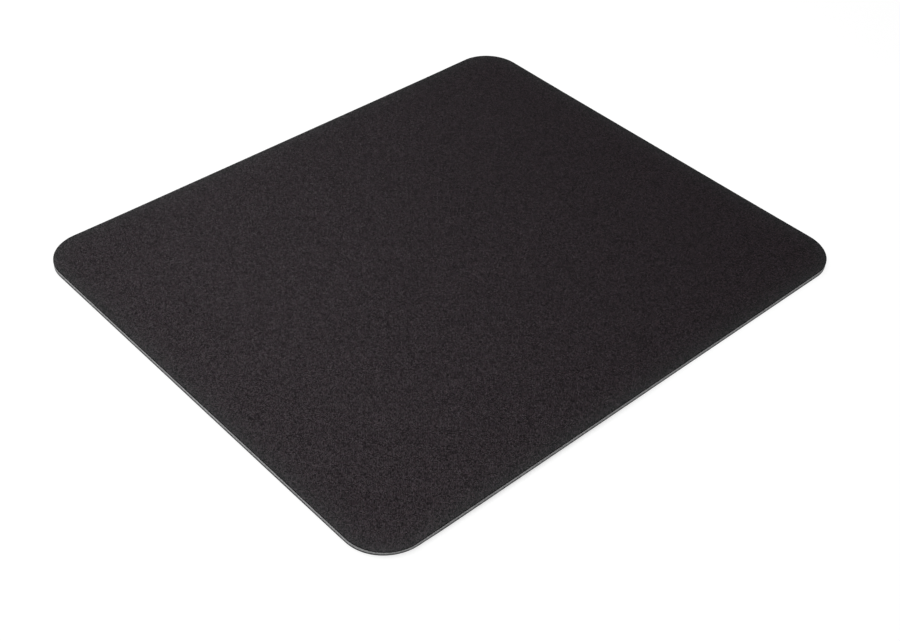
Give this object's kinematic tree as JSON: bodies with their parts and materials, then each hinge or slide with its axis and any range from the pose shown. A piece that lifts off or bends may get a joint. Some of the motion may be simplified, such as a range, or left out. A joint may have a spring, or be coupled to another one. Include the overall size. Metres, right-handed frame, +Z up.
{
  "type": "mouse pad",
  "caption": "Thin flat mouse pad: rounded rectangle of black knitted cloth bonded to grey sponge over a rubber base with a wave tread.",
  "frame": {"origin": "middle of the underside, on the desk plane", "axes": "+X along the longer side, +Y along the shorter side, +Z up out of the cloth face"},
  "size_m": [0.24, 0.2, 0.002],
  "materials": {
    "knit_cloth": "fine matte jersey knit with a faint sheen",
    "hot_melt_film": "thin dark adhesive film",
    "sponge_rubber": "matte cut sponge with fine pores",
    "rubber_cement": "thin dark adhesive film",
    "grip_rubber": "matte moulded rubber"
  },
  "bodies": {
    "root": {"top_cloth": "knit_cloth", "cloth_bond_film": "hot_melt_film", "sponge_core": "sponge_rubber", "base_bond_film": "rubber_cement", "grip_base": "grip_rubber"}
  },
  "joints": []
}
